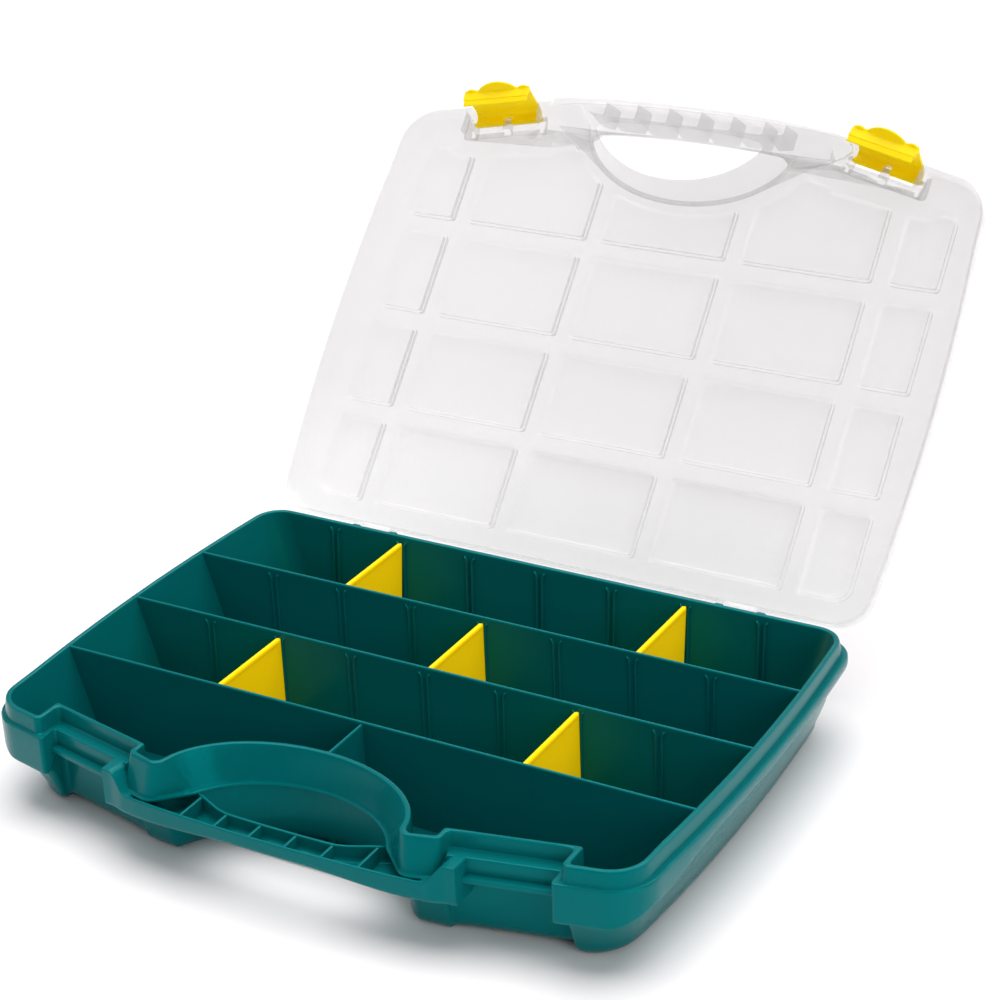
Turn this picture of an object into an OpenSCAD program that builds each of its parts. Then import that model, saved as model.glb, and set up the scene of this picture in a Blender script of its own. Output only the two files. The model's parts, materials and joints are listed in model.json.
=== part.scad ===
// Flat parts organiser case: a compartment tray, a clear hinged lid, two
// swinging latches on the lid's front edge and five lift-out dividers.
// Millimetres, +Z up. The origin lies on the underside of the tray, on the
// centre line of the middle long wall; the hinge is at +Y, the handle at -Y.

/* [Case] */

// height of the tray from its feet to its rim
tray_h = 54; // [50:0.5:58]
// half width of the tray over the rim, at the ends of the bowed sides
rim_half_w = 175.7; // [170:0.1:180]
// how far each side bows out at mid length
side_bow = 5.3; // [0:0.1:8]
// back face of the rim, measured from the middle long wall
rim_back = 123.3; // [120:0.1:128]
// slant of the front edge over the latches
front_slant = 12; // [8:0.5:15]
// thickness of the moulded walls and floor
wall = 1.8; // [1.4:0.1:2.4]

/* [Compartments] */

// spacing of the long walls from front to back
row_pitch = 59; // [56:0.1:62]
// spacing of the divider slots from left to right
slot_pitch = 43.4; // [42:0.1:44]
// gap between the two ribs of a slot
slot_gap = 2.2; // [2:0.05:2.6]
// how far the slot ribs stand off the wall
rib_out = 1.4; // [1:0.1:2]
// thickness of a divider plate
divider_t = 1.5; // [1.2:0.05:1.6]

/* [Lid] */

// how far the lid is swung open from the tray
lid_open = 132; // [120:1:135]
// height of the lid's top over the tray rim
lid_top = 8; // [7:0.25:9]
// thickness of the clear lid walls
lid_wall = 1.8; // [1.4:0.1:2.4]

/* [Latches] */

// how far each latch stands out from its clipped position
latch_out = 10; // [9:1:20]
// width of the latch body
latch_w = 40; // [38:0.2:42]

/* [Hidden] */

$fn = 48;
e = 0.01;
zr = tray_h;              // rim
zl = zr - 8.2;            // top of the flange around the rim
zb = 25;                  // underside of the front skirt
zh = zr - 18.4;           // top of the lower handle bar
hinge_y = 131.3;
hinge_z = zr - 7.9;
xr = 117;                 // centre of a latch recess
yr = -120;
y1 = row_pitch - 0.3;
y3 = -row_pitch;
yb = 119;                 // front face of the back wall
sl = front_slant;
lx = -0.9;                // latch centre along the slanted front

// y of the slanted front line that lies f in front of the latch reference
function fy(x, f) = yr - f/cos(sl) + (x - xr)*tan(sl);
// half width of a bowed side at a given y
function sx(w, y) = w + side_bow*(1 - pow((y - 2)/115, 2));
function arc(cx, cy, r, a0, a1, n) =
  [for (i = [0:n]) let (a = a0 + (a1 - a0)*i/n) [cx + r*cos(a), cy + r*sin(a)]];
// right half of an outline, from the back centre to the slanted front at xe
function half_out(w, yk, rb, rf, f, xe) =
  let (cy = yk - rb, cx = sx(w, cy) - rb,
       fx = sx(w, -96) - rf,
       fcy = yr - (f - rf - (fx - xr)*sin(sl))/cos(sl))
  concat([[0, yk]], arc(cx, cy, rb, 90, 4, 8),
    [for (y = [80, 50, 20, -10, -40, -70]) [sx(w, y), y]],
    arc(fx, fcy, rf, -5, -90 + sl, 9), [[xe, fy(xe, f)]]);
function mir(p) = [for (i = [len(p) - 1:-1:0]) if (abs(p[i][0]) > 0.001) [-p[i][0], p[i][1]]];
function full(p) = concat(p, mir(p));
// points of an ellipse arch from its right foot up to the crown
function arch(a, b, c, x0, n) =
  [for (i = [0:n]) let (t0 = acos(x0/a), t = t0 + (90 - t0)*i/n) [a*cos(t), c + b*sin(t)]];

// front runs of the outlines, right half, ordered outside to centre
function rim_front(a, b, c, f0, f1, x0, x1) = concat(
  [[x0, fy(x0, f0)], [x1, fy(x1, f0)]],
  [[x1, fy(x1, f1)]], arc(76.4, fy(74.4, f1) + 6.6, 6.6, -78, -150, 5), arch(a, b, c, a*0.985, 12));

rim_out = concat(half_out(rim_half_w, rim_back, 16, 21, 12, 143.2),
  rim_front(65.2, 43.2, -135.5, -3, 4.6, 143.2, 86));
rim_in = concat(half_out(rim_half_w - 3.4, yb, 12.6, 17.6, 9.2, 146),
  rim_front(68.2, 46.2, -135.5, -5.2, 2, 146, 83.6));
flange_out = concat(half_out(rim_half_w + 6.6, 130.4, 22, 27, 14.8, 140), [[140, fy(140, -1)], [95.4, fy(95.4, -1)],
  [95.4, fy(95.4, 14.4)], [85, -141.4], [72, -143.2], [52, -144.8], [30, -145.6], [0, -146]]);
lid_out = concat(half_out(rim_half_w + 2.6, 126.6, 18.6, 23.5, 15.6, 140.6), [[97, fy(97, 15.6)], [91, -142.4], [85, -144.4],
  [72, -146], [52, -147.6], [30, -148.6], [0, -149]]);

/* ---------- helpers ---------- */

// block with sloping sides and front: half width h0 at z0 to h1 at z1
module taper(z0, h0, z1, h1, b0 = 140, b1 = 140) {
  c = 150;
  fb = -95;
  intersection() {
    union() {
      // along Y
      translate([0, 150, 0]) rotate([90, 0, 0]) linear_extrude(150 - fb)
        polygon([[-h0, z0], [h0, z0], [h1, z1], [-h1, z1]]);
      // along X
      translate([-c, 0, 0]) rotate([90, 0, 90]) linear_extrude(2*c)
        polygon([[fb - (h0 - c), z0], [fb - (h1 - c), z1], [0, z1], [0, z0]]);
      for (s = [-1, 1]) translate([s*c, fb, z0]) cylinder(r1 = h0 - c, r2 = h1 - c, h = z1 - z0);
    }
    translate([-200, 0, 0]) rotate([90, 0, 90]) linear_extrude(400)
      polygon([[-160, z0], [b0, z0], [b1, z1], [-160, z1]]);
  }
}

// places children at a latch: local X runs along the slanted front, -Y points out
module at_recess(s) {
  mirror([s > 0 ? 0 : 1, 0, 0]) translate([xr, yr, 0]) rotate([0, 0, sl]) children();
}

/* ---------- tray ---------- */

module front_part(x, pts) {
  translate([-x, 0, 0]) rotate([90, 0, 90]) linear_extrude(2*x) polygon(pts);
}

module core() {
  intersection() {
    linear_extrude(zr) polygon(full(rim_out));
    union() {
      taper(0, 162, 3, 166, 118, 120.4);
      taper(3, 166, 9, 169.8, 120.4, 121);
      taper(9, 169.8, zl - 6, 178.4, 121, 121.4);
      // straight lower front between the corners, with the feet of the handle
      front_part(143.2, [[-90, 0.8], [-122, 0.8], [-125, 4], [-134.6, 34], [-134.6, zl - 5], [-90, zl - 5]]);
      translate([-200, -160, zl - 6]) cube([400, 320, 20]);
    }
  }
}

module flange() {
  intersection() {
    translate([0, 0, 31]) linear_extrude(zl - 31) polygon(full(flange_out));
    union() {
      taper(31, 177, 39.5, 186);
      translate([-200, -90, 39.5]) cube([400, 240, 12]);
      translate([-200, -160, 31]) cube([400, 66, 20]);
    }
    // the handle and the arch stay clear
    difference() {
      translate([-200, -160, 20]) cube([400, 320, 30]);
      translate([-96, -160, 19]) cube([192, 70, 40]);
    }
  }
}

// deeper skirt of the front corners, its lower edge rising towards the sides
module corner_skirt(s) {
  difference() {
    intersection() {
      translate([0, 0, zb]) linear_extrude(zl - zb) polygon(full(flange_out));
      translate([s > 0 ? 139.9 : -190, -150, zb]) cube([50.1, 46, 30]);
    }
    translate([s*146, -160, zb]) mirror([s > 0 ? 0 : 1, 0, 0]) rotate([0, -28, 0])
      translate([0, -1, -30]) cube([80, 80, 30]);
  }
}

// block at each root of the handle, its top stepping down to the handle bar
module root_block(s) {
  mirror([s > 0 ? 0 : 1, 0, 0]) intersection() {
    translate([0, 0, zb]) linear_extrude(zl - zb)
      polygon([[95.4, fy(95.4, -1.5)], [95.4, fy(95.4, 14.4)], [85, -141.4], [72, -143.2], [56, -144.5], [56, -124], [70, -118]]);
    translate([0, -90, 0]) rotate([90, 0, 0]) linear_extrude(70)
      polygon([[50, zb + 1], [70, zb], [96, zb], [96, zl], [91, zl], [82, zh], [50, zh]]);
  }
}

module handle_bar() {
  difference() {
    intersection() {
      translate([0, 0, zb]) linear_extrude(zh - zb)
        polygon(full([[0, -128], [46, -128], [52, -124], [57, -120], [66, -143.8], [52, -144.8], [30, -145.6], [0, -146]]));
      // rounded underside
      front_part(80, [[-110, zh], [-129.4, zh], [-129.4, zb + 3], [-132, zb], [-141, zb], [-146.2, zb + 4], [-146.2, zh]]);
    }
    // seven cells between six ribs
    for (i = [-3:3]) translate([i*19.6 - 9, -143.8 + [0, 0.3, 0.7, 1.2][abs(i)], zb + 1.8])
      cube([abs(i) > 2 ? 14 : 18, abs(i) > 2 ? 11.2 : 12.2 - abs(i)*0.4, 20]);
  }
}

module catch_bar(s) {
  at_recess(s) {
    // ledge under the rim band and the catch that the latch hooks under
    translate([-24, -4.2, 33]) cube([46, 6, zl - 33 - 0.4]);
    translate([-24, -8.6, 34.8]) cube([46, 6, 2.8]);
  }
}

// pair of ribs at every slot along one wall; y0 wall face, d = +1 ribs grow to +Y
module slot_ribs(y0, d) {
  translate([0, d > 0 ? y0 - 0.3 : y0 + 0.3, 0]) rotate([90, 0, 0]) translate([0, 0, d > 0 ? -rib_out - 0.3 : 0])
    linear_extrude(rib_out + 0.3) for (k = [-3:3]) for (s = [-1, 1])
      translate([k*slot_pitch, 0]) polygon([[s*slot_gap/2, 1], [s*(slot_gap/2 + 1.1), 1],
        [s*(slot_gap/2 + 1.1), zr - 7], [s*(slot_gap/2 + 2.2), zr - 3.4], [s*(slot_gap/2 + 1.2), zr - 3.1],
        [s*slot_gap/2, zr - 6.6]]);
}

module cavity() {
  intersection() {
    translate([0, 0, wall + 0.6]) linear_extrude(zr) polygon(full(rim_in));
    union() {
      taper(wall + 0.4, 163.5, 8, 167.4);
      taper(8, 167.4, zl - 4, 176.4);
      taper(zl - 4, 176.4, zr + 1, 178);
      front_part(141, [[-90, wall + 0.4], [-120, wall + 0.4], [-122.6, 6], [-132.4, 36], [-132.4, zr + 1], [-90, zr + 1]]);
    }
  }
}

module hinge_ear(x) {
  // one ear of the tray's hinge
  translate([x - 2, 0, 0]) rotate([90, 0, 90]) linear_extrude(4) {
      polygon([[122, zl - 6], [122, zl - 1], [128.6, zl - 1], [hinge_y, hinge_z + 2.6],
        [hinge_y + 2.6, hinge_z - 1], [hinge_y + 1.5, hinge_z - 3], [124, 33]]);
      translate([hinge_y, hinge_z]) circle(r = 3.9);
  }
}

module tray() {
  color([0.0, 0.42, 0.42]) {
    difference() {
      union() {
        core();
        flange();
        for (s = [-1, 1]) { corner_skirt(s); root_block(s); catch_bar(s); }
        // lip of the finger opening
        translate([0, 0, zh - 1.8]) linear_extrude(1.8)
          polygon(full(concat([[0, -90]], [for (p = mir(arch(66, 44, -135.5, 64, 8))) [-p[0], p[1]]],
            [for (p = arch(57, 43, -141, 53, 8)) p])));
        handle_bar();
        // hinge pads behind the back wall
        for (x = [-112, 112]) for (d = [-12, 12]) hinge_ear(x + d);
      }
      cavity();
      // room for the lid's knuckles between the ears
      for (x = [-112, 112]) {
        translate([x - 9.6, 124.2, 30]) cube([19.2, 20, 30]);
        // bores the lid's pins turn in
        translate([x - 15, hinge_y, hinge_z]) rotate([0, 90, 0]) cylinder(r = 1.75, h = 30);
      }
      // finger opening, straight through
      translate([0, 0, -1]) linear_extrude(zr)
        polygon(full(concat([[0, -130], [30, -129.6], [46, -128.2]], arch(57, 43, -141, 53, 10))));
    }
    // three long walls, the front centre wall, the slot ribs
    intersection() {
      core();
      union() {
        for (y = [y1, 0, y3]) translate([-190, y - wall/2, 1]) cube([380, wall, zr - 1]);
        translate([-wall/2, -91, 1]) cube([wall, 32, zr - 1]);
      }
    }
    slot_ribs(yb, -1);
    for (y = [y1, 0]) { slot_ribs(y + wall/2, 1); slot_ribs(y - wall/2, -1); }
    slot_ribs(y3 + wall/2, 1);
  }
}

/* ---------- dividers ---------- */

// plate across a row: yc row centre, len clear width of the row
module divider(x, ya, yc) {
  l = yc - ya;
  color([0.95, 0.78, 0.0]) translate([x, 0, 0]) {
    translate([-divider_t/2, ya + 0.35, wall + 1]) cube([divider_t, l - 0.7, zr - 6.2 - wall]);
    translate([-1.5, ya + 2.2, zr - 5.4]) cube([3, l - 4.4, 2.6]);
  }
}

module divider_back_left() { divider(-2*slot_pitch, y1 + wall/2, yb); }
module divider_back_right() { divider(2*slot_pitch, y1 + wall/2, yb); }
module divider_middle() { divider(0, wall/2, y1 - wall/2); }
module divider_front_left() { divider(-2*slot_pitch, y3 + wall/2, -wall/2); }
module divider_front_right() { divider(2*slot_pitch, y3 + wall/2, -wall/2); }

/* ---------- lid, drawn closed and swung open about the hinge ---------- */

zt = zr + lid_top;        // top of the lid
zi = zr + 0.6;            // inner face that bridges the rim and the long walls
px = [-164, -3*slot_pitch, -slot_pitch, slot_pitch, 3*slot_pitch, 164];
py = [112.4, y1, 0, y3, -112];
gw = 4.6;                 // half width of the flat grooves between panels

module lid_shell() {
  difference() {
    union() {
      // sheet and skirt
      translate([0, 0, zl + 0.4]) linear_extrude(zt - zl - 0.4) polygon(full(lid_out));
      // upper half of the handle, reaching down to the lower bar
      intersection() {
        translate([0, 0, zh + 0.4]) linear_extrude(zt - zh - 0.4)
          polygon(full([[0, -91], [30, -93.5], [50, -104], [62, -119], [72, -136.6], [91, -139.4], [91, -142.4], [85, -144.4],
            [72, -146], [52, -147.6], [30, -148.6], [0, -149]]));
        translate([0, -80, 0]) rotate([90, 0, 0]) linear_extrude(80)
          polygon(full([[0, zt + 1], [95, zt + 1], [95, zl + 0.4], [90, zl + 0.4], [81, zh + 0.4], [0, zh + 0.4]]));
      }
    }
    // room for the tray rim
    translate([0, 0, zh - 1]) linear_extrude(zi - zh + 1) polygon(full(concat(
      half_out(rim_half_w + 0.5, rim_back + 0.5, 16.4, 21.4, 12.6, 142.2),
      [[142.2, fy(142.2, -1.2)], [87.4, fy(87.4, -1.2)], [87.4, fy(87.4, 5.4)], [72, fy(72, 5.4)], [66, -131.4]],
      arch(64.4, 42.4, -135.5, 64, 10))));
    // twenty raised panels, hollow from below
    for (i = [0:4]) for (j = [0:2]) translate([px[i] + (i > 0 ? gw : 0), py[j + 1] + gw, zi - 1])
      cube([px[i + 1] - px[i] - gw - (i > 0 && i < 4 ? gw : 0), py[j] - py[j + 1] - gw - (j > 0 ? gw : 0), zt - lid_wall - zi + 1]);
    translate([0, 0, zi - 1]) linear_extrude(zt - lid_wall - zi + 1) {
      polygon([[-38.8, y3 - gw], [38.8, y3 - gw], [38.8, -84.5], [-38.8, -84.5]]);
      for (s = [-1, 1]) mirror([s > 0 ? 0 : 1, 0]) {
        polygon([[48, y3 - gw], [125.5, y3 - gw], [125.5, -110.5], [88, -117.5], [79, -110], [66, -101], [48, -89]]);
        polygon([[134.7, y3 - gw], [164, y3 - gw], [164, -104], [157, -114], [148, -116], [143, -107], [134.7, -108.5]]);
      }
    }
    // flat grooves between the panels, cut from above
    for (i = [1:4]) translate([px[i] - gw + 1.4, -80, zi + lid_wall]) cube([2*gw - 2.8, 192.4, 20]);
    for (j = [1:3]) translate([-164, py[j] - gw + 1.4, zi + lid_wall]) cube([328, 2*gw - 2.8, 20]);
    // lowered border all round
    difference() {
      translate([-200, -103, zi + lid_wall + 1.2]) cube([400, 260, 20]);
      translate([-165.4, -110, 0]) cube([330.8, 223.8, 90]);
    }
    // latch pockets in the front edge
    for (s = [-1, 1]) at_recess(s) translate([lx - 21.2, -30, 30]) cube([42.4, 28.2, zi + 20 - 30]);
    // finger opening
    translate([0, 0, 20]) linear_extrude(60)
      polygon(full(concat([[0, -131], [46, -130]], arch(57, 43.6, -141, 53, 10))));
    // cells of the upper handle
    for (i = [-3:3]) translate([i*19.6 - 9, -146.6 + (abs(i) > 2 ? 1.4 : abs(i)*0.3), zh - 1])
      cube([18, 13.6 - (abs(i) > 2 ? 2.4 : abs(i)*0.2), zt - zh - 0.9]);
  }
}

module lid_closed() {
  difference() {
    union() {
      lid_shell();
      // lugs that carry the latch pins
      for (s = [-1, 1]) at_recess(s) {
        for (x = [-22.7, 20.7]) translate([lx + x, 0, 0]) rotate([90, 0, 90]) linear_extrude(2)
          polygon([[0, zr - 3], [0, zt - 2], [-9, zt - 2], [-11.6, zr + 3], [-11.6, zr - 1], [-8, zr - 3]]);
        translate([lx - 2, 0, 0]) rotate([90, 0, 90]) linear_extrude(4)
          polygon([[0, zr - 3], [0, zr + 4], [-8, zr + 4], [-10.6, zr + 2], [-10.6, zr], [-8, zr - 2]]);
      }
    }
    for (s = [-1, 1]) at_recess(s) translate([lx - 22, -8, zr + 1]) rotate([0, 90, 0]) cylinder(r = 1.35, h = 44);
  }
  // hinge knuckles with the pins that turn in the tray's ears
  for (x = [-112, 112]) {
    translate([x - 9, 0, 0]) rotate([90, 0, 90]) linear_extrude(18) union() {
      polygon([[125.4, zl + 0.4], [125.4, zr + 3], [hinge_y - 1, hinge_z + 3.2], [hinge_y + 3.2, hinge_z], [hinge_y, hinge_z - 3.2],
        [hinge_y - 3.2, hinge_z - 1]]);
      translate([hinge_y, hinge_z]) circle(r = 3.2);
    }
    translate([x - 14, hinge_y, hinge_z]) rotate([0, 90, 0]) cylinder(r = 1.7, h = 28);
  }
}

module swing_lid() {
  translate([0, hinge_y, hinge_z]) rotate([-lid_open, 0, 0]) translate([0, -hinge_y, -hinge_z]) children();
}

module lid() { color([0.92, 0.94, 0.95, 0.5]) swing_lid() lid_closed(); }

/* ---------- latch: local X along its pin, -Y forward, origin on the pin ---------- */

module latch_shape() {
  difference() {
    union() {
      // side profile: top leg, elbow, front leg, hook and grip
      translate([-latch_w/2, 0, 0]) rotate([90, 0, 90]) linear_extrude(latch_w)
        polygon([[0.6, 1.9], [-2.6, 1.7], [-5.4, 0.2], [-6.9, -2.6], [-7.1, -5], [-7, -21], [-8.1, -24], [-6.9, -24.6],
          [-5.6, -23.1], [2.2, -22.2], [2.6, -21.4], [-5.2, -20.5], [-5.3, -17], [-5.4, -5], [-4.6, -2.4], [-1, -1.9], [1.6, -0.6]]);
      translate([-latch_w/2, 0, 0]) rotate([0, 90, 0]) cylinder(r = 1.9, h = latch_w);
      // pin ends
      translate([-latch_w/2 - 1.5, 0, 0]) rotate([0, 90, 0]) cylinder(r = 1.3, h = latch_w + 3);
      // thumb tab with a bowed edge
      intersection() {
        translate([-13, 0, 0]) rotate([90, 0, 90]) linear_extrude(26)
          polygon([[-5.5, -21.8], [-6.8, -21.8], [-9.5, -27.6], [-8.1, -28.2]]);
        translate([0, 5, -4.9]) rotate([90, 0, 0]) cylinder(r = 23.1, h = 20);
      }
      // wider hook block
      translate([-20.6, -6.8, -23]) cube([41.2, 6.4, 1.8]);
    }
    // notch that clears the middle lug
    translate([-2.5, -3, -3.5]) cube([5, 6, 7]);
  }
  translate([-3.2, 0, 0]) rotate([0, 90, 0]) cylinder(r = 1.3, h = 6.4);
}

module place_latch(s) {
  swing_lid() translate([0, 0, zr + 1]) at_recess(s) translate([lx, -8, 0]) rotate([-latch_out, 0, 0]) latch_shape();
}

module latch_left() { color([0.95, 0.78, 0.0]) place_latch(-1); }
module latch_right() { color([0.95, 0.78, 0.0]) place_latch(1); }

tray();
lid();
latch_left();
latch_right();
divider_back_left();
divider_back_right();
divider_middle();
divider_front_left();
divider_front_right();
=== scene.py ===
import json
import math
import bpy
import bmesh
from mathutils import Matrix, Vector


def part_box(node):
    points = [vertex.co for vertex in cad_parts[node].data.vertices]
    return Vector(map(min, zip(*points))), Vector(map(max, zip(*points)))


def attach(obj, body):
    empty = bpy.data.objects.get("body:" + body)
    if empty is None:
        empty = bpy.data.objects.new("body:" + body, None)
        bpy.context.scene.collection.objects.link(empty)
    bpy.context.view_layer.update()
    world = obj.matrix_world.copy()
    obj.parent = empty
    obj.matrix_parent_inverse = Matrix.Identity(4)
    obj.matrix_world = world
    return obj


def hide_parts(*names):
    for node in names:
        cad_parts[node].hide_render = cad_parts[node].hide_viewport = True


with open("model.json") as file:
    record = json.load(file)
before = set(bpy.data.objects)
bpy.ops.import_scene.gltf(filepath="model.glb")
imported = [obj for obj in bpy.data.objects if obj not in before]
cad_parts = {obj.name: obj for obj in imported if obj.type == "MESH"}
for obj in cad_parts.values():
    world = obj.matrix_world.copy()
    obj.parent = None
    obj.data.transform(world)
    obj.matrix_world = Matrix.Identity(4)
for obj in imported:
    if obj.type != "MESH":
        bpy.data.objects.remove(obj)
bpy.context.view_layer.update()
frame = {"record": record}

record = frame["record"]
scene = bpy.context.scene

# ---------------------------------------------------------------- outline maths (millimetres)
SL = math.radians(12.0)
CS, SN, TN = math.cos(SL), math.sin(SL), math.tan(SL)
XR, YR = 117.0, -120.0
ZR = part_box("tray")[1].z * 1000.0          # rim height
ZL = ZR - 8.4                              # flange top
ZH = ZR - 18.0                             # handle parting plane
HY, HZ = 131.3, ZR - 7.9                   # lid hinge
OPEN = math.radians(-132.0)


def fy(x, f):
    return YR - f / CS + (x - XR) * TN


def sx(w, y):
    return w + 5.3 * (1 - ((y - 2) / 115.0) ** 2)


def smooth(t):
    t = max(0.0, min(1.0, t))
    return t * t * (3 - 2 * t)


def lerp(a, b, t):
    return a + (b - a) * t


def fillet_path(vs):
    """vs: (x, y, z, r, n). Corner points are rounded with radius r in n steps."""
    out = []
    m = len(vs)
    for i, (x, y, z, r, n) in enumerate(vs):
        if n == 0 or i == 0 or i == m - 1:
            out.append((x, y, z))
            continue
        p = Vector((x, y))
        a = Vector(vs[i - 1][:2]) - p
        b = Vector(vs[i + 1][:2]) - p
        la, lb = a.length, b.length
        if la < 1e-6 or lb < 1e-6 or r <= 0:
            out += [(x, y, z)] * (n + 1)
            continue
        a /= la
        b /= lb
        ang = math.acos(max(-1, min(1, a.dot(b))))
        if ang > math.radians(176):
            t = min(0.3, 0.4 * min(la, lb))
            for k in range(n + 1):
                u = k / n
                q = p + a * t * (1 - u) if u < 0.5 else p + b * t * u
                q = p + a * (t * max(0, 1 - 2 * u)) + b * (t * max(0, 2 * u - 1))
                out.append((q.x, q.y, z))
            continue
        t = r / math.tan(ang / 2)
        t = min(t, 0.47 * la, 0.47 * lb)
        r2 = t * math.tan(ang / 2)
        c = p + (a + b).normalized() * (r2 / math.sin(ang / 2))
        s = p + a * t - c
        e = p + b * t - c
        a0 = math.atan2(s.y, s.x)
        a1 = math.atan2(e.y, e.x)
        d = a1 - a0
        while d > math.pi:
            d -= 2 * math.pi
        while d < -math.pi:
            d += 2 * math.pi
        for k in range(n + 1):
            q = a0 + d * k / n
            out.append((c.x + r2 * math.cos(q), c.y + r2 * math.sin(q), z))
    return out


def ellipse(A, B, C, x0, n):
    t0 = math.acos(min(1, x0 / A))
    return [(A * math.cos(t0 + (math.pi / 2 - t0) * k / n), C + B * math.sin(t0 + (math.pi / 2 - t0) * k / n)) for k in range(n + 1)]


def mirror_ring(right):
    """right: from the back centre (x = 0) to the front centre (x = 0)."""
    left = [(-x, y, z) for x, y, z in reversed(right[1:-1])]
    return right + left


# ---------------------------------------------------------------- mesh helpers
def mesh_from(name, verts, faces, scale=0.001):
    me = bpy.data.meshes.new(name)
    me.from_pydata([(x * scale, y * scale, z * scale) for x, y, z in verts], [], faces)
    me.validate()
    bm = bmesh.new()
    bm.from_mesh(me)
    bmesh.ops.remove_doubles(bm, verts=bm.verts, dist=2e-6)
    bmesh.ops.dissolve_degenerate(bm, edges=bm.edges, dist=1e-6)
    bmesh.ops.recalc_face_normals(bm, faces=bm.faces)
    bm.to_mesh(me)
    bm.free()
    ob = bpy.data.objects.new(name, me)
    scene.collection.objects.link(ob)
    return ob


def grid_cut(ob, step):
    """Split every face along a regular grid, so that later cuts never meet one huge face."""
    bm = bmesh.new()
    bm.from_mesh(ob.data)
    big = [f for f in bm.faces if len(f.verts) > 4]
    bmesh.ops.triangulate(bm, faces=big, ngon_method="EAR_CLIP")
    for axis in (0, 1):
        lo = min(v.co[axis] for v in bm.verts)
        hi = max(v.co[axis] for v in bm.verts)
        n = int((hi - lo) / (step * 0.001))
        for k in range(1, n + 1):
            co, no = [0, 0, 0], [0, 0, 0]
            co[axis] = lerp(lo, hi, k / (n + 1.0)) + 0.000137
            no[axis] = 1
            bmesh.ops.bisect_plane(bm, geom=list(bm.verts) + list(bm.edges) + list(bm.faces), dist=1e-7, plane_co=co, plane_no=no)
    bm.to_mesh(ob.data)
    bm.free()
    return ob


def loft(name, rings, cap0=True, cap1=True, close=True, grid=0):
    n = len(rings[0])
    verts, faces = [], []
    for r in rings:
        assert len(r) == n, (name, len(r), n)
        verts += r
    for k in range(len(rings) - 1):
        for i in range(n if close else n - 1):
            j = (i + 1) % n
            faces.append((k * n + i, k * n + j, (k + 1) * n + j, (k + 1) * n + i))
    m = (len(rings) - 1) * n
    if cap0:
        faces.append(tuple(range(n - 1, -1, -1)))
    if cap1:
        faces.append(tuple(range(m, m + n)))
    ob = mesh_from(name, verts, faces)
    return grid_cut(ob, grid) if grid else ob


def rounded_box(name, lo, hi, r, seg=3):
    """Box with rounded edges, in millimetres."""
    bm = bmesh.new()
    bmesh.ops.create_cube(bm, size=1.0)
    for v in bm.verts:
        v.co = Vector([lerp(lo[k], hi[k], v.co[k] + 0.5) for k in range(3)])
    bmesh.ops.bevel(bm, geom=list(bm.edges), offset=r, segments=seg, profile=0.5, affect="EDGES", clamp_overlap=True)
    for v in bm.verts:
        v.co *= 0.001
    bmesh.ops.recalc_face_normals(bm, faces=bm.faces)
    me = bpy.data.meshes.new(name)
    bm.to_mesh(me)
    bm.free()
    ob = bpy.data.objects.new(name, me)
    scene.collection.objects.link(ob)
    return ob


def prism(name, pts, axis, a, b, r=0.0, seg=2):
    """Closed outline pts (2D) extruded along axis from a to b, its end edges rounded by r."""
    def place(p, t):
        if axis == "x":
            return (t, p[0], p[1])
        if axis == "y":
            return (p[0], t, p[1])
        return (p[0], p[1], t)
    n = len(pts)
    verts = [place(p, a) for p in pts] + [place(p, b) for p in pts]
    faces = [tuple(range(n)), tuple(range(2 * n - 1, n - 1, -1))]
    faces += [(i, (i + 1) % n, n + (i + 1) % n, n + i) for i in range(n)]
    ob = mesh_from(name, verts, faces)
    if r > 0:
        bm = bmesh.new()
        bm.from_mesh(ob.data)
        bmesh.ops.bevel(bm, geom=list(bm.edges), offset=r * 0.001, segments=seg, profile=0.5, affect="EDGES", clamp_overlap=True)
        bmesh.ops.recalc_face_normals(bm, faces=bm.faces)
        bm.to_mesh(ob.data)
        bm.free()
    return ob


def transform(ob, m):
    ob.data.transform(m)
    ob.data.update()
    return ob


def mirror_copy(ob, name):
    me = ob.data.copy()
    me.transform(Matrix.Diagonal((-1, 1, 1, 1)))
    me.flip_normals()
    o = bpy.data.objects.new(name, me)
    scene.collection.objects.link(o)
    return o


def apply_bool(base, others, op):
    """Exact closed-solid boolean of base with a list of closed meshes."""
    if not others:
        return base
    col = bpy.data.collections.new("tmp_bool")
    for o in others:
        for c in list(o.users_collection):
            c.objects.unlink(o)
        col.objects.link(o)
    scene.collection.children.link(col)
    mod = base.modifiers.new("b", "BOOLEAN")
    mod.operand_type = "COLLECTION"
    mod.collection = col
    mod.operation = op
    mod.solver = "MANIFOLD"
    dg = bpy.context.evaluated_depsgraph_get()
    dg.update()
    me = bpy.data.meshes.new_from_object(base.evaluated_get(dg))
    base.modifiers.remove(mod)
    old = base.data
    base.data = me
    for o in others:
        d = o.data
        bpy.data.objects.remove(o)
        bpy.data.meshes.remove(d)
    scene.collection.children.unlink(col)
    bpy.data.collections.remove(col)
    bpy.data.meshes.remove(old)
    return base


def finish_mesh(ob, angle=32, merge=2e-7):
    bm = bmesh.new()
    bm.from_mesh(ob.data)
    bmesh.ops.triangulate(bm, faces=bm.faces, quad_method="BEAUTY", ngon_method="EAR_CLIP")
    bmesh.ops.remove_doubles(bm, verts=bm.verts, dist=merge)
    bm.to_mesh(ob.data)
    bm.free()
    me = ob.data
    me.polygons.foreach_set("use_smooth", [True] * len(me.polygons))
    me.set_sharp_from_angle(angle=math.radians(angle))
    wn = ob.modifiers.new("wn", "WEIGHTED_NORMAL")
    wn.keep_sharp = True
    wn.weight = 60
    return ob


# ---------------------------------------------------------------- tray outline rings
SIDE_Y = [88, 72, 54, 36, 18, 0, -18, -36, -52, -66, -78, -88]


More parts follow.
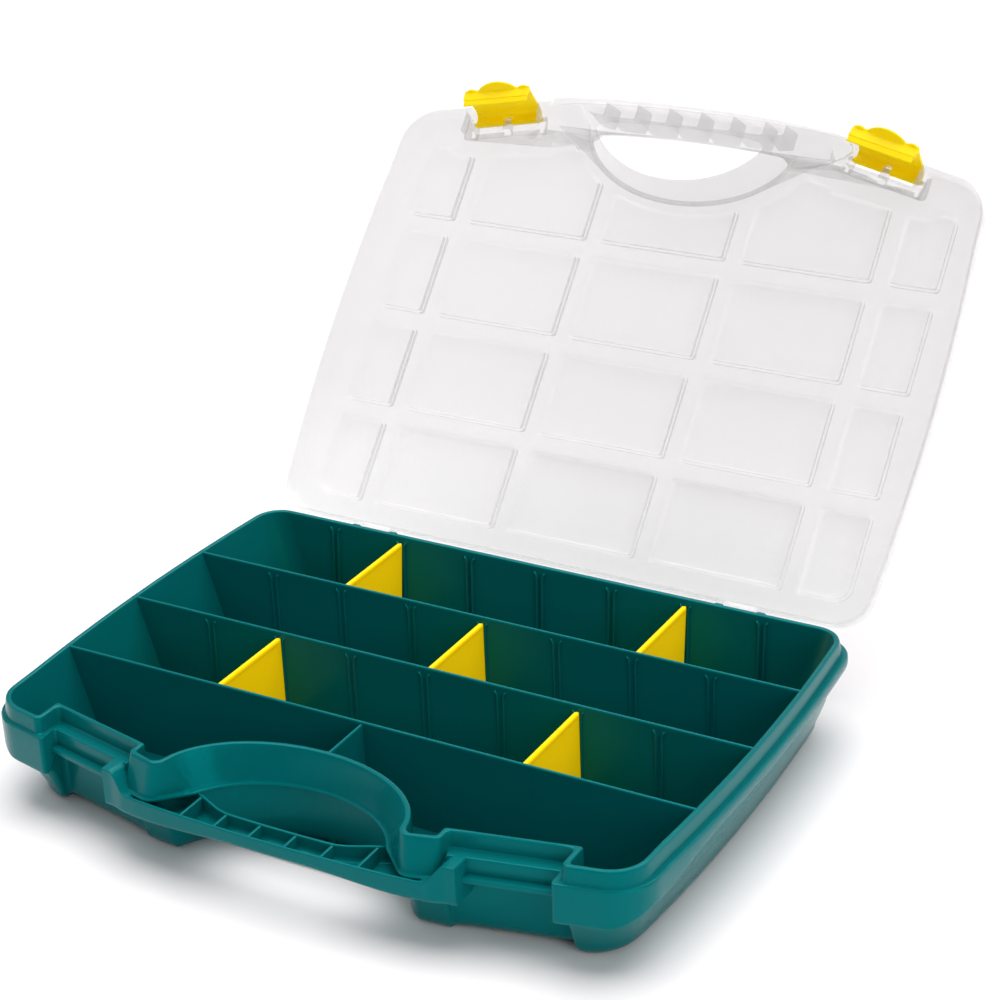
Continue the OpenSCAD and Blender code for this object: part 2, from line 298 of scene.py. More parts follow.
def ring(w, yb, rb, fc, rf, x3, r3, fr, x5, fp, p7, A, B, C, z, zc=None, zr=None, za=None, xa=None, side_z=None):
    """One closed outline. z: back and sides, zc: front corners, zr: latch recess, za: pillar and arch."""
    zc = z if zc is None else zc
    zr = z if zr is None else zr
    za = zr if za is None else za
    vs = []
    cy = yb - rb
    cx = sx(w, cy) - rb
    for x in (0, 40, 80, 118):
        vs.append((x, yb, z, 0, 0))
    for k in range(11):
        t = math.radians(lerp(90, 4, k / 10))
        vs.append((cx + rb * math.cos(t), cy + rb * math.sin(t), z, 0, 0))
    zs = side_z or (lambda y: lerp(z, zc, smooth((-42 - y) / 105.0)) if zc != z else z)
    for y in SIDE_Y:
        vs.append((sx(w, y), y, zs(y), 0, 0))
    fx = sx(w, -97) - rf
    fcy = YR - (fc - rf - (fx - XR) * SN) / CS
    for k in range(13):
        t = math.radians(lerp(-6, -90 + 12, k / 12))
        px, py = fx + rf * math.cos(t), fcy + rf * math.sin(t)
        vs.append((px, py, lerp(zs(-92), zc, smooth(k / 11.0)), 0, 0))
    vs.append((x3, fy(x3, fc), zc, r3, 4))
    vs.append((x3, fy(x3, fr), zr, r3 * 0.8, 4))
    for u in (0.2, 0.5, 0.8):
        xx = lerp(x3, x5, u)
        vs.append((xx, fy(xx, fr), zr, 0, 0))
    vs.append((x5, fy(x5, fr), zr, r3 * 0.8, 4))
    vs.append((x5, fy(x5, fp), za, r3, 4))
    vs.append((p7[0], p7[1], za, p7[2], 8))
    e = ellipse(A, B, C, (xa if xa else A * 0.97), 16)
    vs.append((e[0][0], e[0][1], za, 9, 5))
    for x, y in e[1:]:
        vs.append((max(x, 0.0), y, za, 0, 0))
    pts = fillet_path(vs)
    pts[-1] = (0.0, pts[-1][1], pts[-1][2])
    return mirror_ring(pts)


def rim_ring(d, z, dz_out=0.0, draft=0.0):
    """Rim outline inset by d (towards the compartments) at height z."""
    g = draft
    return ring(175.7 - d + g, 123.3 - d + g, 16 - d, 12 - d + g, 20 - d, 143.3 + d - g * 0.3, max(0.6, 3.2 - d * 0.5),
                -3 - d * 0.85 + g * 0.3, 85.7 - d + g * 0.3, 4.6 - d + g, (66.0 + d * 0.9 - g * 0.3, -136.2 + d - g, 7.0 - d * 0.6),
                65.2 + d - g * 1.0, 43.2 + d - g * 0.7, -135.5, z)


def body_out(z, inset=0.0, zc=None, zr=None, za=None):
    """Outer wall of the lower body at height z."""
    t = (z - 8) / 23.0
    mid = 170.4 + 7.2 * t + 1.0 * math.sin(math.pi * max(0.0, min(1.0, t))) - inset
    fc = min(11.4, 2.2 + (z - 8) * 0.47) - inset
    fp = min(4.8, -1.2 + (z - 8) * 0.23) - inset
    fr = -2.6 - 0.4 * (1 - min(1, max(0, t))) - inset
    return ring(mid - 5.3, 120.0 + 0.05 * (z - 8) - inset, 17 - inset * 0.8, fc, 24 - inset * 0.8, 143.0 + inset * 0.4, 3.0, fr,
                85.6 - inset * 0.2, max(fp, fr + 0.8), (68.5 + inset * 0.6, -134.0 + (31 - min(z, 31)) * 0.32 + inset * 1.0, 7.0),
                66.2 + inset, 44.6 + inset, -135.5, z, zc, zr, za)


def build_tray():
    rings = []
    # underside, with shallow feet at the corners and handle roots
    rings.append(body_out(3, 17, 1.5, 1.5, 1.5))
    rings[-1] = [(x, y, 1.5) for x, y, z in rings[-1]]
    rings.append([(x, y, 1.5) for x, y, z in body_out(3, 10.5)])
    rings.append(body_out(3, 8.5))
    foot = lambda x, y: 0.0 if (abs(x) > 142 or 62 < abs(x) < 88 or y > 60) else 1.4

    def with_foot(r, dz):
        out = []
        for x, y, z in r:
            k = 1.4 * smooth(1 - max(0.0, min(1.0, (abs(x) - 143.5) / 4.0))) if y < -95 and abs(x) > 86 else 0.0
            if y < -95 and 84 < abs(x) <= 90:
                k = 1.4 * smooth((abs(x) - 84) / 4.0)
            out.append((x, y, dz + k * max(0.0, 1 - dz / 9.0)))
        return out
    rings[-1] = with_foot(rings[-1], 0.0)
    for z, ins in ((0.0, 6.4), (0.35, 4.3), (1.2, 2.7), (2.8, 1.35), (4.9, 0.45), (7.6, 0.0)):
        rings.append(with_foot(body_out(8, ins), z))
    rings.append(body_out(14))
    rings.append(body_out(20))
    rings.append(body_out(24, 0, 22.5, 26, 26))
    rings.append(body_out(28, 0, 23.8, 32, 32))
    rings.append(body_out(30.8, 0, 24.4, 33.0, 33.4))

    def fl(mid, yb, z, fc, zc, fr, zr, A, B, za, fp, p7, x3=140.2, x5=88.5, rf=24.0, C=-141.0):
        return ring(mid - 5.3, yb, 20, fc, rf, x3, 1.6, fr, x5, fp, p7, A, B, C, z, zc, zr, za, xa=A * 0.93)
    P = lambda a, b, c=8.0: (a, b, c)
    rings.append(fl(177.4, 121.9, 31.4, 12.6, 24.6, -1.6, 33.5, 65.0, 44.2, 33.8, 4.2, P(68.8, -134.5, 7), x3=141.6, x5=86.4, C=-136.5))
    rings.append(fl(183.4, 127.6, 38.2, 14.2, 25.0, 3.2, 33.7, 58.0, 44.0, 34.3, 9.0, P(69.6, -140.4)))
    rings.append(fl(184.5, 128.4, 39.6, 14.7, 25.7, 4.0, 34.2, 57.2, 43.3, 34.8, 10.2, P(69.8, -141.2)))
    rings.append(fl(184.9, 128.7, 41.2, 14.8, 27.0, 4.2, 35.0, 57.0, 43.0, 35.2, 10.6, P(70.0, -141.5)))
    rings.append(fl(185.0, 128.7, 43.0, 14.8, 38.0, 4.2, 42.0, 57.0, 43.0, 35.5, 10.6, P(70.0, -141.5)))
    rings.append(fl(184.9, 128.6, 44.7, 14.8, 44.7, 4.2, 44.7, 57.0, 43.0, 35.8, 10.6, P(70.0, -141.5)))
    rings.append(fl(184.5, 128.3, 45.4, 14.4, 45.4, 3.8, 45.4, 57.3, 43.2, 36.1, 10.3, P(69.9, -141.2)))
    rings.append(fl(183.7, 127.6, 45.6, 13.8, 45.6, 3.1, 45.6, 57.7, 43.5, 36.3, 10.0, P(69.8, -140.8)))
    rings.append(ring(177.4, 125.3, 16.5, 13.3, 21, 142.6, 2.0, -1.9, 86.6, 9.0, (69.6, -140.3, 8.0), 58.4, 43.6, -140.6, 45.5, 45.5, 45.5, 36.8, xa=58.4 * 0.93))
    rings.append(ring(176.7, 124.5, 16.3, 12.8, 20.6, 143.0, 2.6, -2.6, 86.2, 8.6, (69.2, -139.8, 8.0), 59.0, 43.6, -140.2, 46.1, 46.1, 46.1, 38.0, xa=59.0 * 0.93))
    rings.append(ring(176.3, 124.0, 16.2, 12.5, 20.3, 143.2, 3.0, -2.8, 86.0, 7.0, (68.0, -138.4, 7.6), 61.4, 43.4, -138.2, 48.4, 48.4, 48.4, 44.4, xa=61.4 * 0.95))
    rings.append(ring(175.9, 123.5, 16.0, 12.15, 20.0, 143.3, 3.2, -2.95, 85.8, 5.2, (66.6, -136.9, 7.2), 64.2, 43.2, -136.2, 52.2, 52.2, 52.2, 51.4, xa=64.2 * 0.965))
    rings.append(rim_ring(0.0, 53.0))
    rings.append(rim_ring(0.25, 53.6))
    rings.append(rim_ring(0.8, 53.95))
    rings.append(rim_ring(1.5, 54.0))
    rings.append(rim_ring(2.2, 53.9))
    rings.append(rim_ring(2.75, 53.5))
    rings.append(rim_ring(3.0, 52.8))

    def inner(z, ins=0.0):
        t = (z - 8) / 44.8
        mid = 164.6 + (178.0 - 164.6) * min(1, t * 1.0) - ins
        d = 3.0 + 0.6 * (1 - t)
        fc = 9.0 - 8.6 * (1 - t) ** 1.3 - ins
        return ring(mid - 5.3, 120.3 - 2.0 * (1 - t) - ins, 13 - ins * 0.6, fc, 17 - ins * 0.6, 143.3 + d, 2.0, -3 - d * 0.85 - ins,
                    85.7 - d, max(1.6 - 4.5 * (1 - t), -3 - d * 0.85 + 1.2) - ins, (68.7 + ins * 0.5 + (1 - t) * 1.6, -133.2 + (1 - t) * 7.5 + ins, 5.0),
                    68.2 + (1 - t) * 1.4 + ins, 46.2 + (1 - t) * 1.6 + ins, -135.5, z)
    for z in (50.5, 44, 36, 28, 20, 13, 8.4):
        rings.append(inner(z))
    for z, ins in ((5.6, 0.35), (4.0, 1.0), (3.0, 2.0), (2.5, 3.4), (2.4, 5.0)):
        r = inner(8, ins)
        rings.append([(x, y, z) for x, y, _ in r])
    body = loft("tray_shell", rings, grid=13)

    add = []
    # long walls and the short front wall, rounded on top and thicker at the foot
    def wall_prof(c, t0, t1, z0, z1):
        pts = [(c - t1 / 2, z0), (c + t1 / 2, z0)]
        for k in range(7):
            a = math.radians(180 * k / 6)
            pts.append((c + t0 / 2 * math.cos(a), z1 - t0 / 2 + t0 / 2 * math.sin(a)))
        return pts
    def half_in(y, z):
        t = (z - 8) / 44.8
        return sx(164.6 + 13.4 * t - 5.3, y)
    for y in (58.7, 0.0, -59.1):
        prof = wall_prof(y, 1.9, 2.5, 1.9, ZR - 0.15)
        xs = [-1, 1]
        verts, n = [], len(prof)
        for s in xs:
            for (yy, zz) in prof:
                verts.append((s * (half_in(y, max(zz, 8)) + 1.2), yy, zz))
        faces = [tuple(range(n)), tuple(range(2 * n - 1, n - 1, -1))] + [(i, (i + 1) % n, n + (i + 1) % n, n + i) for i in range(n)]
        add.append(mesh_from("w", verts, faces))
    prof = wall_prof(0.0, 1.8, 2.4, 1.9, ZR - 1.2)
    add.append(prism("w", prof, "y", -90.6, -58.4))

    # slot ribs with their turned-out tops
    def slot_rib(xc, s, y, d):
        """One rib beside the slot centre xc on side s; wall face at y, rib grows along d."""
        out = 1.5
        cs = [(-0.62, 0.0), (-0.62, out * 0.55), (-0.36, out * 0.92), (0.0, out), (0.36, out * 0.92), (0.62, out * 0.55), (0.62, 0.0)]
        foot_z = 5.4 if y > 119 else 1.9
        path = [(xc + s * 1.62, foot_z, 0.0), (xc + s * 1.62, ZR - 9.0, 0.0), (xc + s * 1.66, ZR - 6.6, 0.12), (xc + s * 1.95, ZR - 4.9, 0.45),
                (xc + s * 2.6, ZR - 3.9, 0.9), (xc + s * 3.3, ZR - 3.45, 1.25)]
        rr = []
        for k, (px, pz, tilt) in enumerate(path):
            nx, nz = math.cos(tilt), math.sin(tilt) * -s
            hgt = 1.0 if k < len(path) - 1 else 0.55
            lean = -2.0 * (1 - (pz - 8) / 44.8) if y > 119 else 0.0   # the back wall leans with its draft
            rr.append([(px + a * nx, y + lean + d * (b * hgt - 0.5), pz + a * nz) for a, b in cs])
        return loft("r", rr)
    walls = [(120.0 - 0.2, -1), (58.7 + 0.95, 1), (58.7 - 0.95, -1), (0.95, 1), (-0.95, -1), (-59.1 + 0.95, 1)]
    for (y, d) in walls:
        for k in range(-3, 4):
            for s in (-1, 1):
                add.append(slot_rib(k * 43.37, s, y, d))

    # catch bands that the latches hook under
    for s in (-1, 1):
        o = rounded_box("c", (-22.6, -8.4, ZR - 19.4), (23.0, 3.0, ZR - 16.6), 0.55, 3)
        transform(o, Matrix.Translation((XR * 0.001, YR * 0.001, 0)) @ Matrix.Rotation(SL, 4, "Z"))
        if s < 0:
            q = mirror_copy(o, "c")
            bpy.data.objects.remove(o)
            o = q
        add.append(o)

    # handle: root blocks and the hollow lower bar, lofted along X
    def front_y(x):
        x = abs(x)
        tab = [(0, -145.8), (15, -145.7), (30, -145.3), (48, -144.7), (64, -143.9), (76, -142.9), (85, -141.7), (92, -139.4), (97.2, -138.9)]
        for (x0, y0), (x1, y1) in zip(tab, tab[1:]):
            if x <= x1:
                return lerp(y0, y1, (x - x0) / (x1 - x0))
        return tab[-1][1]

    def back_y(x):
        x = abs(x)
        if x < 28:
            return -132.6 + 0.5 * (x / 28.0) ** 2
        if x < 57:
            return lerp(-132.1, -122.5, smooth((x - 28) / 29.0))
        return -122.5 + (x - 57) * 0.02

    def top_z(x):
        x = abs(x)
        return ZH + (ZL - ZH) * smooth((x - 81.5) / 10.5)

    def bot_z(x):
        x = abs(x)
        return 28.0 - 2.9 * smooth((x - 14) / 60.0)

    def bar_section(x):
        ax = abs(x)
        yf, ybk, zt, zb = front_y(x), back_y(x), top_z(x), bot_z(x)
        depth = (7.2 + 2.0 * smooth((ax - 14) / 60.0)) * smooth((80.5 - ax) / 5.0)
        depth = min(depth, zt - zb - 1.3)
        w = 1.75
        r = 2.6
        rr = min(0.7, w * 0.42)
        cyf = yf + w                          # cavity front
        cyb = ybk - w if ax < 49 else lerp(ybk - w, ybk - 0.4, smooth((ax - 49) / 5.0))
        zc = zt - depth
        pts = []
        # bottom front corner
        for k in range(6):
            a = math.radians(180 + 90 * (1 - k / 5.0) * -1 + 0)
            t = math.radians(270 - 90 * k / 5.0)
            pts.append((yf + r + r * math.cos(t), zb + r + r * math.sin(t)))
        # top front lip
        for k in range(5):
            t = math.radians(180 - 90 * k / 4.0)
            pts.append((yf + rr + rr * math.cos(t), zt - rr + rr * math.sin(t)))
        for k in range(5):
            t = math.radians(90 - 90 * k / 4.0)
            pts.append((cyf - rr + rr * math.cos(t), zt - rr + rr * math.sin(t) if depth > 1 else zt - 0.0001 * k))
        # cavity
        rc = min(2.2, depth * 0.45)
        for k in range(5):
            t = math.radians(180 + 90 * k / 4.0)
            pts.append((cyf + 0.25 + rc + rc * math.cos(t), zc + rc + rc * math.sin(t)))
        for k in range(5):
            t = math.radians(270 + 90 * k / 4.0)
            pts.append((cyb - 0.25 - rc + rc * math.cos(t), zc + rc + rc * math.sin(t)))
        for k in range(5):
            t = math.radians(180 - 90 * k / 4.0)
            pts.append((cyb + rr + rr * math.cos(t), zt - rr + rr * math.sin(t) if depth > 1 else zt - 0.0001 * k))
        for k in range(5):
            t = math.radians(90 - 90 * k / 4.0)
            pts.append((ybk - rr + rr * math.cos(t), zt - rr + rr * math.sin(t)))
        for k in range(6):
            t = math.radians(0 - 90 * k / 5.0)
            pts.append((ybk - r + r * math.cos(t), zb + r + r * math.sin(t)))
        return [(x, a, b) for a, b in pts]
    xs = [97.2, 96.8, 95.6, 93.5, 91.5, 89.5, 87.5, 85.5, 83.5, 81.5, 80.3, 79.2, 78, 76.8, 75.6, 74, 70, 66, 62, 58, 56, 54, 52, 50, 48, 46, 42, 36, 30, 24, 18, 12, 6]
    stations = [-v for v in xs] + [0.0] + list(reversed(xs))
    secs = []
    for x in stations:
        s = bar_section(x)
        e = 97.2 - abs(x)
        if e < 1.3:   # rounded ends
            k = 0.6 - math.sqrt(max(0, 0.36 - (0.6 - min(e, 0.6)) ** 2))
            cy = -131.0
            s = [(p[0], p[1] + (0.8 * k if p[1] < cy else -0.2 * k), p[2] + (k if p[2] < 33 else -k)) for p in s]
        secs.append(s)
    add.append(loft("bar", secs))
    for xk in (9.8, 29.4, 49.0):
        for s in (-1, 1):
            x = s * xk
            add.append(rounded_box("rb", (x - 0.75, front_y(x) + 0.9, bot_z(x) + 0.7), (x + 0.75, back_y(x) - 0.9, ZH - 0.5), 0.35, 2))

    # hinge ears at the back, bored for the lid's pins
    cuts = []
    for xc in (-112, 112):
        for d in (-12, 12):
            pts = [(121.6, 38.5), (121.6, ZL - 0.4), (128.2, ZL - 0.4)]
            for k in range(13):
                t = math.radians(165 - 225 * k / 12.0)
                pts.append((HY + 3.0 * math.cos(t), HZ + 3.0 * math.sin(t)))
            pts.append((124.5, 36.0))
            add.append(prism("ear", pts, "x", xc + d - 2, xc + d + 2, 0.35, 2))
            c = prism("bore", [(HY + 1.78 * math.cos(math.radians(15 * k)), HZ + 1.78 * math.sin(math.radians(15 * k))) for k in range(24)], "x", xc + d - 3, xc + d + 3)
            cuts.append(c)
        cuts.append(rounded_box("gap", (xc - 9.9, 125.0, 30), (xc + 9.9, 150, 60), 0.3, 1))
    apply_bool(body, add, "UNION")
    apply_bool(body, cuts, "DIFFERENCE")
    body.name = "tray_moulding"
    body.data.name = "tray_moulding"
    finish_mesh(body)
    return body


# ---------------------------------------------------------------- dividers
def build_divider(name, x, ya, yb):
    """Plate with a rolled top edge. ya, yb: wall faces of the row."""
    z0, z1 = 2.9, ZR - 2.8
    t = 0.72
    prof = [(-t * 0.75, z0), (t * 0.75, z0), (t, z0 + 1.2), (t, z1 - 3.4), (1.05, z1 - 2.9), (1.42, z1 - 2.0), (1.42, z1 - 1.2)]
    for k in range(1, 6):
        a = math.radians(180 * k / 6.0)
        prof.append((1.42 * math.cos(a), z1 - 1.2 + 1.2 * math.sin(a)))
    prof += [(-1.42, z1 - 1.2), (-1.42, z1 - 2.0), (-1.05, z1 - 2.9), (-t, z1 - 3.4), (-t, z0 + 1.2)]
    plate = [(-t * 0.75, z0), (t * 0.75, z0), (t, z0 + 1.0), (t, z1 - 1.4), (t * 0.6, z1 - 0.7), (-t * 0.6, z1 - 0.7), (-t, z1 - 1.4), (-t, z0 + 1.0)]
    a = prism(name, [(x + p, z) for p, z in plate], "y", ya + 0.4, yb - 0.4, 0.12, 1)
    b = prism("bead", [(x + p, z) for p, z in prof], "y", ya + 2.0, yb - 2.0, 0.12, 1)
    apply_bool(a, [b], "UNION")
    if yb > 119:   # back row: the plate's end follows the draft of the back wall
        for v in a.data.vertices:
            if v.co.y > (yb - 2.5) * 0.001:
                z = v.co.z * 1000.0
                v.co.y -= 0.001 * (2.0 * (1 - (z - 8) / 44.8) + (2.6 if z < 5 else 0.0))
    a.name = name
    finish_mesh(a, 40)
    return a


# ---------------------------------------------------------------- latches
def latch_grip(x):
    """How far the grip stands out below the hook at station x."""
    ax = abs(x)
    if ax < 11.6:
        return 1.0 + 4.6 * (1 - (ax / 11.6) ** 2) ** 0.8
    if ax < 13.4:
        return 1.0
    return 1.0 + 1.0 * math.sin(math.pi * min(1.0, (ax - 13.4) / 5.6)) ** 0.7


def latch_section(x):
    g = latch_grip(x)
    dy, dz = -0.42, -0.907
    ny, nz = 0.907, -0.42
    fy0, fz0 = -7.25, -21.4
    th = 1.45
    fr = (fy0 + dy * g, fz0 + dz * g)
    tip = [fr,
           (fr[0] + dy * 0.45 + ny * 0.2, fr[1] + dz * 0.45 + nz * 0.2),
           (fr[0] + dy * 0.62 + ny * th * 0.5, fr[1] + dz * 0.62 + nz * th * 0.5),
           (fr[0] + dy * 0.45 + ny * (th - 0.2), fr[1] + dz * 0.45 + nz * (th - 0.2)),
           (fr[0] + ny * th, fr[1] + nz * th)]
    bk = (-6.15, -23.05)
    pts = [(1.5, -1.2), (1.85, -0.5), (1.9, 0.3), (1.6, 1.1), (0.95, 1.68), (0, 1.92), (-1.4, 1.86), (-2.7, 1.66), (-3.9, 1.22), (-4.9, 0.62),
           (-5.75, -0.25), (-6.4, -1.4), (-6.8, -2.8), (-7.0, -4.6), (-7.02, -8), (-7.0, -14), (-6.98, -19.0), (-7.05, -20.6), (fy0, fz0)]
    pts += tip + [bk, (-5.7, -22.95), (-3.0, -22.7), (1.7, -22.28), (2.3, -22.15), (2.55, -21.85), (2.55, -21.5), (2.25, -21.22),
                  (-1.0, -20.9), (-4.3, -20.55), (-4.95, -20.3), (-5.28, -19.8), (-5.32, -19.0), (-5.35, -12), (-5.35, -6.2), (-5.2, -4.9),
                  (-4.8, -3.7), (-4.1, -2.8), (-3.2, -2.2), (-2.0, -1.95), (-0.8, -1.93), (0.5, -1.85)]
    return [(x, a, b) for a, b in pts]


def build_latch(name):
    """Latch in its own frame: pin along X at the origin, clipped position, millimetres."""
    xs = [20, 19.2, 18.4, 17.6, 16.8, 16, 15.2, 14.4, 13.8, 13.4, 12.6, 12, 11.6, 11.4, 11, 10.4, 9.4, 8, 6.4, 4.8, 3.2, 1.6]
    st = [-v for v in xs] + [0.0] + list(reversed(xs))
    ob = loft(name, [latch_section(x) for x in st])
    bm = bmesh.new()
    bm.from_mesh(ob.data)
    ends = [e for e in bm.edges if all(abs(v.co.x) > 0.01999 for v in e.verts)]
    bmesh.ops.bevel(bm, geom=ends, offset=0.00028, segments=2, profile=0.5, affect="EDGES", clamp_overlap=True)
    bmesh.ops.recalc_face_normals(bm, faces=bm.faces)
    bm.to_mesh(ob.data)
    bm.free()

    def pin(x0, x1, r):
        c = [(r * math.cos(math.radians(15 * k)), r * math.sin(math.radians(15 * k))) for k in range(24)]
        return prism("pin", c, "x", x0, x1)
    add = [rounded_box("hk", (-20.6, -6.75, -22.85), (20.6, -0.9, -21.35), 0.3, 2), pin(-21.5, -19.2, 1.3), pin(19.2, 21.5, 1.3)]
    apply_bool(ob, add, "UNION")
    apply_bool(ob, [rounded_box("nt", (-2.6, -3.1, -3.6), (2.6, 3.1, 3.6), 0.3, 2)], "DIFFERENCE")
    apply_bool(ob, [pin(-3.3, 3.3, 1.3)], "UNION")
    ob.name = name
    return ob


# ---------------------------------------------------------------- lid
def signed_area(pts):
    return 0.5 * sum(a[0] * b[1] - b[0] * a[1] for a, b in zip(pts, pts[1:] + pts[:1]))


def inset_poly(pts, d):
    """Outline moved inwards by d (either winding)."""
    s = 1.0 if signed_area(pts) > 0 else -1.0
    n = len(pts)
    out = []
    for i in range(n):
        p0, p1, p2 = Vector(pts[i - 1][:2]), Vector(pts[i][:2]), Vector(pts[(i + 1) % n][:2])
        e0, e1 = (p1 - p0), (p2 - p1)
        e0 = e0.normalized() if e0.length > 1e-6 else Vector((0, 0))
        e1 = e1.normalized() if e1.length > 1e-6 else Vector((0, 0))
        n0, n1 = Vector((-e0.y, e0.x)) * s, Vector((-e1.y, e1.x)) * s
        if n0.length < 0.5:
            n0 = n1
        if n1.length < 0.5:
            n1 = n0
        q = p1 + (n0 + n1) * (d / max(0.35, 1 + n0.dot(n1)))
        out.append((q.x, q.y))
    return out


def round_closed(pts, radii, z, seg=4):
    n = len(pts)
    out = []
    for i in range(n):
        r = radii[i]
        p = Vector(pts[i][:2])
        if r <= 0:
            out.append((p.x, p.y, z))
            continue
        a = Vector(pts[i - 1][:2]) - p
        b = Vector(pts[(i + 1) % n][:2]) - p
        la, lb = a.length, b.length
        a /= la
        b /= lb
        ang = math.acos(max(-1, min(1, a.dot(b))))
        t = min(r / math.tan(ang / 2), 0.46 * la, 0.46 * lb)
        r2 = t * math.tan(ang / 2)
        c = p + (a + b).normalized() * (r2 / math.sin(ang / 2))
        s, e = p + a * t - c, p + b * t - c
        a0 = math.atan2(s.y, s.x)
        d = math.atan2(e.y, e.x) - a0
        while d > math.pi:
            d -= 2 * math.pi
        while d < -math.pi:
            d += 2 * math.pi
        for k in range(seg + 1):
            q = a0 + d * k / seg
            out.append((c.x + r2 * math.cos(q), c.y + r2 * math.sin(q), z))
    return out


def pad(name, pts, radii, levels, seg=4):
    """Loft of one rounded outline; levels: (z, inset)."""
    rings = []
    for z, d in levels:
        q = inset_poly(pts, d) if abs(d) > 1e-9 else pts
        rr = [max(0.35, r - d) if r > 0 else 0 for r in radii]
        rings.append(round_closed(q, rr, z, seg))
    return loft(name, rings)


def interp(tab, x):
    if x <= tab[0][0]:
        return tab[0][1]
    for (x0, y0), (x1, y1) in zip(tab, tab[1:]):
        if x <= x1:
            return lerp(y0, y1, (x - x0) / (x1 - x0))
    return tab[-1][1]


ZT = ZR + 8.0                              # top of the panels
ZS = ZR + 2.4                              # top of the flat sheet
ZU = ZR + 0.7                              # underside of the flat sheet
ZK = ZR - 7.8                              # lower edge of the skirt
COVE_A = [(36.3, 57.7), (36.8, 58.4), (38.0, 59.0), (44.4, 61.4), (51.4, 64.2), (53.0, 65.2)]
COVE_B = [(36.3, 43.5), (36.8, 43.6), (38.0, 43.6), (44.4, 43.4), (51.4, 43.2), (53.0, 43.2)]
COVE_C = [(36.3, -140.8), (36.8, -140.6), (38.0, -140.2), (44.4, -138.2), (51.4, -136.2), (53.0, -135.5)]
COVE_F = [(36.3, 10.0), (36.8, 9.0), (38.0, 8.6), (44.4, 7.0), (51.4, 5.2), (53.0, 4.6)]
COVE_PX = [(36.3, 69.8), (36.8, 69.6), (38.0, 69.2), (44.4, 68.0), (51.4, 66.6), (53.0, 66.0)]
COVE_PY = [(36.3, -140.8), (36.8, -140.3), (38.0, -139.8), (44.4, -138.4), (51.4, -136.9), (53.0, -136.2)]


def lid_front(x, z):
    """Front face of the handle half at height z."""
    ax = abs(x)
    y = interp([(0, -149.0), (12, -148.94), (30, -148.6), (41, -148.2), (52, -147.6), (62, -146.9), (72, -146.0), (79, -145.3), (85, -144.3), (88, -143.5), (91, -142.4), (97, -140.2)], ax)
    return y + max(0.0, ZS - z) * 0.27 * smooth((97 - ax) / 14.0)


def lid_outline(z, dy=0.0):
    """Right half of the skirt's outline, back centre to front centre, mirrored to a full ring (2D)."""
    pts = [(x, 126.6) for x in (0, 40, 80, 118)]
    w, yb, rb, rf, f = 178.3 - 5.3 + 5.3, 126.6, 18.6, 23.5, 15.6
    cy = yb - rb
    cx = sx(w - 5.3 + 5.3, cy) - rb
    for k in range(13):
        t = math.radians(lerp(90, 3, k / 12))
        pts.append((cx + rb * math.cos(t), cy + rb * math.sin(t)))
    for y in SIDE_Y:
        pts.append((sx(w, y), y))
    fx = sx(w, -96) - rf
    fcy = YR - (f - rf - (fx - XR) * SN) / CS
    for k in range(15):
        t = math.radians(lerp(-4, -90 + 12, k / 14))
        pts.append((fx + rf * math.cos(t), fcy + rf * math.sin(t)))
    for x in (141, 130, 118, 107):
        pts.append((x, fy(x, f)))
    for x in (99, 97, 95, 93, 91, 89, 87, 85, 82, 79, 72, 62, 52, 41, 30, 20, 10, 0):
        base = fy(x, f) if x > 97 else lid_front(x, z)
        pts.append((x, base + dy * smooth((97 - x) / 6.0)))
    return pts + [(-x, y) for x, y in reversed(pts[1:-1])]


def lens_ring(z, grow=0.0, zz=None):
    """Finger opening of the lid at height z."""
    A = interp(COVE_A, z) - 0.45 - 1.6 + grow
    B = interp(COVE_B, z) - 0.45 - 1.6 + grow
    C = interp(COVE_C, z)
    ye = -124.2
    xe = A * math.sqrt(1 - ((ye - C) / B) ** 2)
    t1 = math.atan2((ye - C) / B, xe / A)
    pts = []
    for k in range(19):
        t = lerp(math.pi / 2, t1, k / 18.0)
        pts.append((A * math.cos(t), C + B * math.sin(t), z))
    pts[0] = (0.0, C + B, z)
    tip = pts.pop()
    run = [(0.93 * xe, -127.3 - grow), (0.82 * xe, -128.4 - grow), (0.66 * xe, -129.1 - grow), (0.45 * xe, -129.7 - grow), (0.22 * xe, -130.1 - grow), (0, -130.2 - grow)]
    vs = [(x, y, z, 0, 0) for x, y, z in pts] + [(tip[0], tip[1], z, 2.2, 5)] + [(x, y, z, 0, 0) for x, y in run]
    r = mirror_ring(fillet_path(vs))
    if zz is not None:
        r = [(x, y, zz) for x, y, _ in r]
    return r


def cavity_ring(z, d=0.0, zz=None):
    """Room for the tray's rim inside the skirt."""
    c = 0.45
    w = interp([(46.0, 177.12), (48.4, 176.95), (52.2, 176.6), (54.7, 176.3)], z)
    yb = interp([(46.0, 125.35), (52.2, 124.9), (54.7, 124.6)], z)
    fc = interp([(46.0, 14.35), (52.2, 14.0), (54.7, 13.8)], z)
    f = interp(COVE_F, z) + c
    A, B, C = interp(COVE_A, z) - c, interp(COVE_B, z) - c, interp(COVE_C, z)
    px, py = interp(COVE_PX, z) - 0.1, interp(COVE_PY, z) - c
    r = ring(w - 0.0, yb, 17.4, fc, 22.2, 142.3, 1.6, -0.1, 87.0, f, (px, py, 7.0), A, B, C, z, xa=A * 0.95)
    if d:
        q = inset_poly(r, d)
        r = [(a[0], a[1], z) for a in q]
    if zz is not None:
        r = [(x, y, zz) for x, y, _ in r]
    return r


